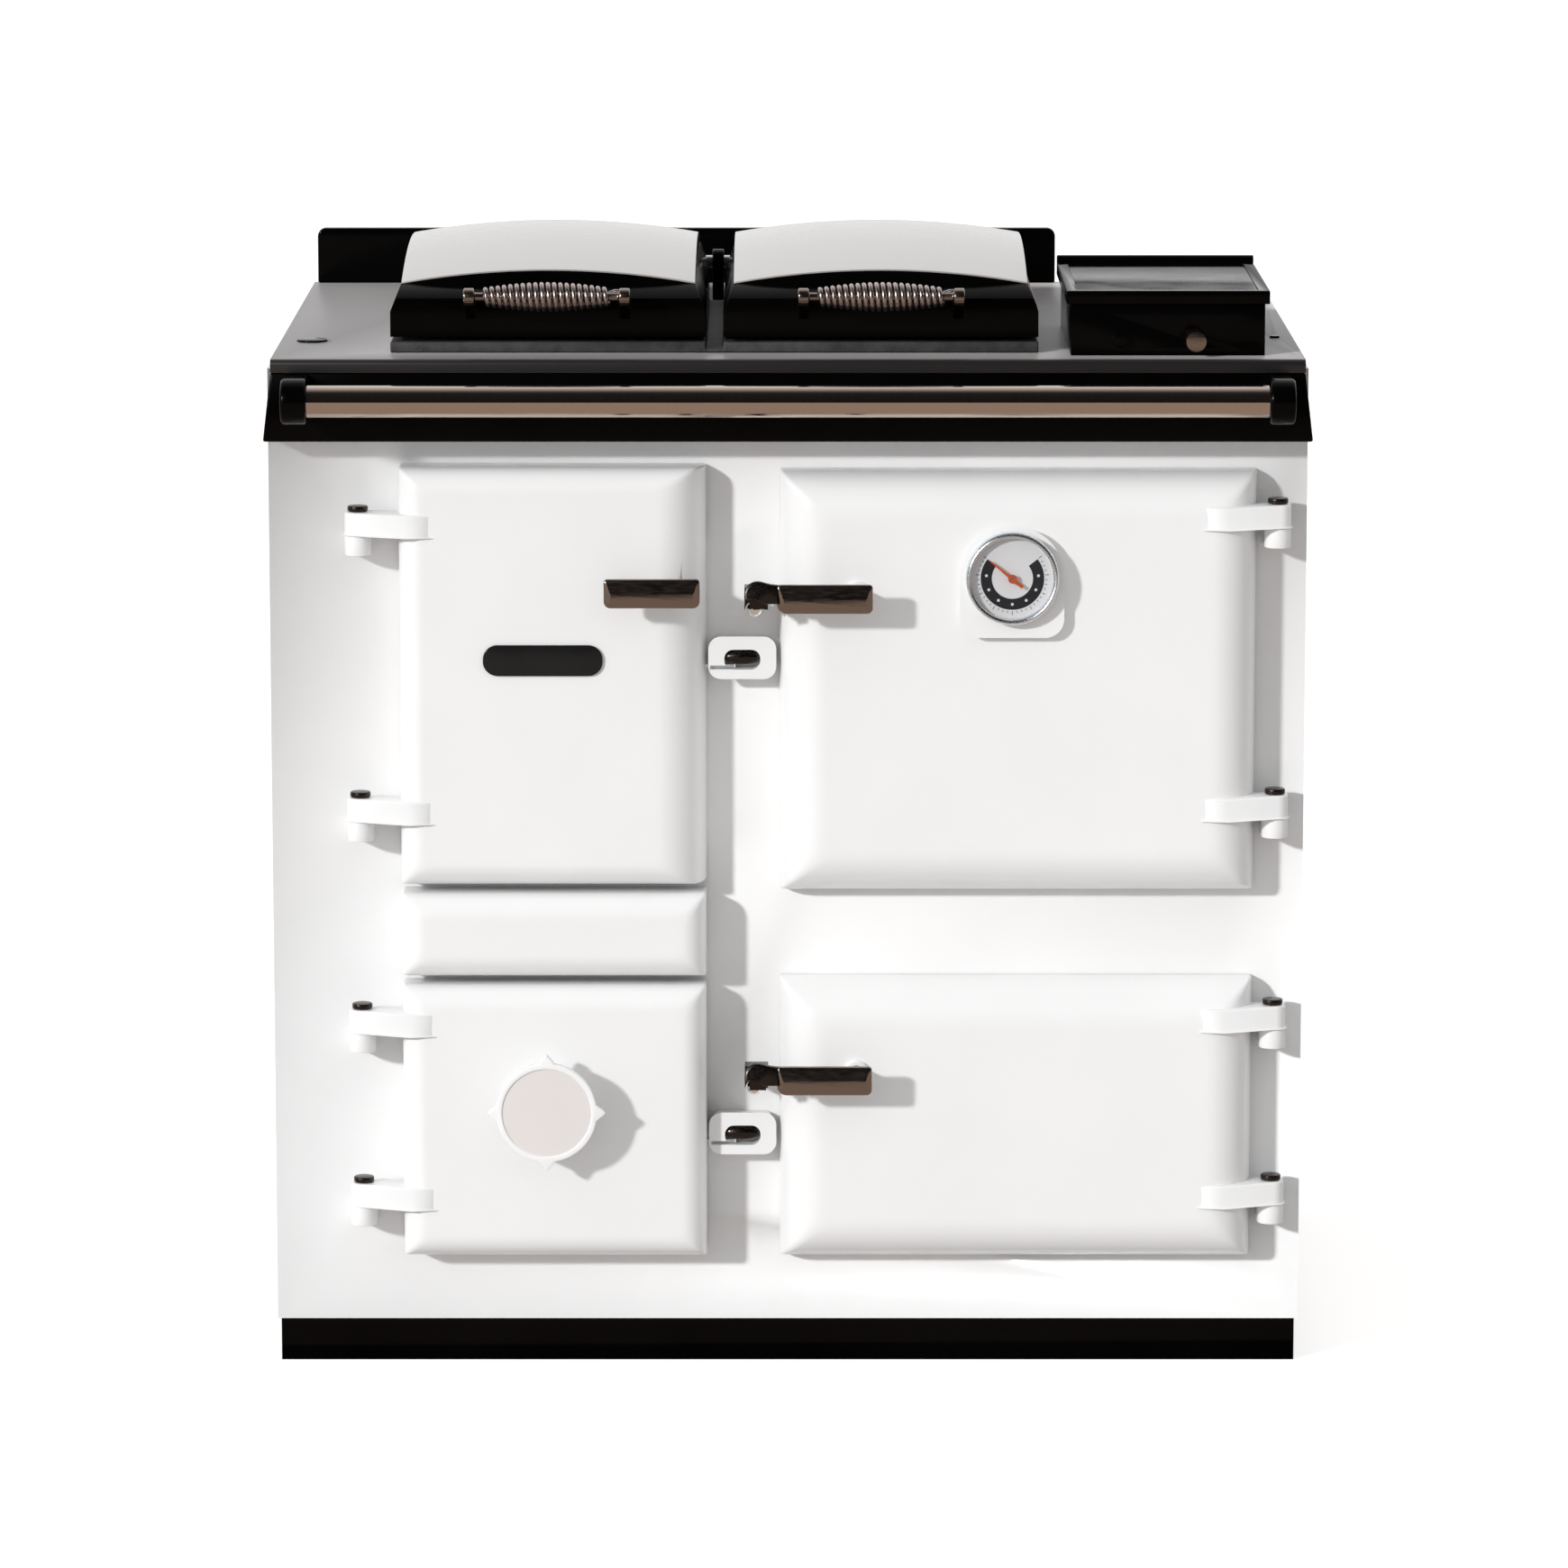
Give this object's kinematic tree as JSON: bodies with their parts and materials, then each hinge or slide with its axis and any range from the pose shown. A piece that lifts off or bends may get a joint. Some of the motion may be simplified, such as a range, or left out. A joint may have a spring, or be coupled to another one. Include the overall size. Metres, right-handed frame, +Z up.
{
  "type": "range cooker",
  "caption": "Free-standing solid fuel range cooker in enamelled cast iron, with four hinged front doors, a handrail, two domed hob lids over a hotplate and a flue box.",
  "frame": {"origin": "middle of the plinth's flat underside, on the floor", "axes": "+Z up, the doors face -Y, +X to the right as seen from the front"},
  "size_m": [0.944, 0.7554, 1.03],
  "materials": {
    "white_enamel": "gloss",
    "black_enamel": "gloss",
    "cast_iron": "matt",
    "galvanised": "matt",
    "polished_steel": "polished",
    "rail_steel": "polished",
    "dark_nickel": "polished",
    "wound_wire": "polished",
    "firebrick": "matt",
    "needle": "satin",
    "black_plate": "gloss",
    "gauge_glass": "clear",
    "dial": "satin",
    "rope": "matt"
  },
  "bodies": {
    "cooker": {"plinth": "black_enamel", "base_plate": "cast_iron", "front_panel": "white_enamel", "side_panels": "white_enamel", "back_panel": "galvanised", "centre_panel": "white_enamel", "fascia": "black_enamel", "hob_plate": "black_enamel", "hob_fixings": "black_enamel", "rear_upstand": "black_enamel", "handrail": "rail_steel", "handrail_brackets": "black_enamel", "hotplate": "cast_iron", "lid_hinge_posts": "black_enamel", "lid_hinge_rod": "polished_steel", "flue_box": "black_enamel", "flue_box_cover": "black_enamel", "flue_spigot": "cast_iron", "firebox_casting": "cast_iron", "firebricks": "firebrick", "grate_frame": "cast_iron", "ashpan": "galvanised", "main_oven": "cast_iron", "lower_oven": "cast_iron", "oven_shelves": "polished_steel", "hinge_lugs": "white_enamel", "hinge_pins": "dark_nickel", "oven_catches": "polished_steel", "roller_keepers": "white_enamel"},
    "upper_roller": {"upper_roller": "dark_nickel"},
    "lower_roller": {"lower_roller": "dark_nickel"},
    "riddling_grate": {"riddling_grate": "cast_iron"},
    "flue_damper": {"flue_damper": "dark_nickel"},
    "firebox_door": {"firebox_door": "white_enamel", "firebox_door_liner": "cast_iron", "oval_plate": "black_plate", "firebox_handle": "dark_nickel"},
    "ashpit_door": {"ashpit_door": "white_enamel", "ashpit_door_liner": "cast_iron", "wheel_stud": "polished_steel"},
    "wheel_washer": {"wheel_washer": "polished_steel"},
    "air_wheel": {"air_wheel": "white_enamel"},
    "main_oven_door": {"main_oven_door": "white_enamel", "main_oven_door_liner": "cast_iron", "gauge_case": "polished_steel"},
    "gauge_needle": {"gauge_needle": "needle"},
    "main_oven_handle": {"main_oven_handle": "dark_nickel"},
    "lower_oven_door": {"lower_oven_door": "white_enamel", "lower_oven_door_liner": "cast_iron"},
    "lower_oven_handle": {"lower_oven_handle": "dark_nickel"},
    "left_lid": {"left_lid": "black_enamel", "left_lid_cover": "polished_steel", "left_lid_liner": "polished_steel", "left_handle_mount": "dark_nickel", "left_coil": "wound_wire"},
    "right_lid": {"right_lid": "black_enamel", "right_lid_cover": "polished_steel", "right_lid_liner": "polished_steel", "right_handle_mount": "dark_nickel", "right_coil": "wound_wire"}
  },
  "joints": [
    {"name": "firebox_door_swing", "type": "hinge", "parent": "cooker", "child": "firebox_door", "pos_m": [-0.388, -0.325, 0.645], "axis": [0, 0, -1], "range_deg": [0, 110]},
    {"name": "ashpit_door_swing", "type": "hinge", "parent": "cooker", "child": "ashpit_door", "pos_m": [-0.388, -0.325, 0.2345], "axis": [0, 0, -1], "range_deg": [0, 110]},
    {"name": "main_oven_door_swing", "type": "hinge", "parent": "cooker", "child": "main_oven_door", "pos_m": [0.442, -0.325, 0.639], "axis": [0, 0, 1], "range_deg": [0, 110]},
    {"name": "lower_oven_door_swing", "type": "hinge", "parent": "cooker", "child": "lower_oven_door", "pos_m": [0.442, -0.325, 0.2345], "axis": [0, 0, 1], "range_deg": [0, 110]},
    {"name": "main_oven_handle_lift", "type": "hinge", "parent": "main_oven_door", "child": "main_oven_handle", "pos_m": [0.062, -0.384, 0.7245], "axis": [0, 1, 0], "range_deg": [0, 20]},
    {"name": "lower_oven_handle_lift", "type": "hinge", "parent": "lower_oven_door", "child": "lower_oven_handle", "pos_m": [0.062, -0.384, 0.2835], "axis": [0, 1, 0], "range_deg": [0, 20]},
    {"name": "gauge_needle_turn", "type": "hinge", "parent": "main_oven_door", "child": "gauge_needle", "pos_m": [0.2015, -0.37, 0.74], "axis": [0, -1, 0], "range_deg": [0, 240], "stiffness_Nm_per_rad": 0.002},
    {"name": "upper_roller_turn", "type": "hinge", "parent": "cooker", "child": "upper_roller", "pos_m": [-0.04125, -0.317, 0.661], "axis": [1, 0, 0], "continuous": true},
    {"name": "lower_roller_turn", "type": "hinge", "parent": "cooker", "child": "lower_roller", "pos_m": [-0.04125, -0.317, 0.22], "axis": [1, 0, 0], "continuous": true},
    {"name": "left_lid_lift", "type": "hinge", "parent": "cooker", "child": "left_lid", "pos_m": [-0.217, 0.152, 0.97], "axis": [-1, 0, 0], "range_deg": [0, 95]},
    {"name": "right_lid_lift", "type": "hinge", "parent": "cooker", "child": "right_lid", "pos_m": [0.084, 0.152, 0.97], "axis": [-1, 0, 0], "range_deg": [0, 95]},
    {"name": "flue_damper_slide", "type": "slide", "parent": "cooker", "child": "flue_damper", "axis": [0, -1, 0], "range_m": [0, 0.06]},
    {"name": "riddling_grate_slide", "type": "slide", "parent": "cooker", "child": "riddling_grate", "axis": [0, -1, 0], "range_m": [0, 0.02]},
    {"name": "air_wheel_travel", "type": "slide", "parent": "ashpit_door", "child": "wheel_washer", "axis": [0, -1, 0], "range_m": [0, 0.0091]},
    {"name": "air_wheel_turn", "type": "hinge", "parent": "wheel_washer", "child": "air_wheel", "pos_m": [-0.2185, -0.36, 0.253], "axis": [0, -1, 0], "range_deg": [0, 1080]}
  ],
  "couplings": [
    {"joint": "air_wheel_travel", "follows": "air_wheel_turn", "m_per_rad": 0.00047746}
  ]
}
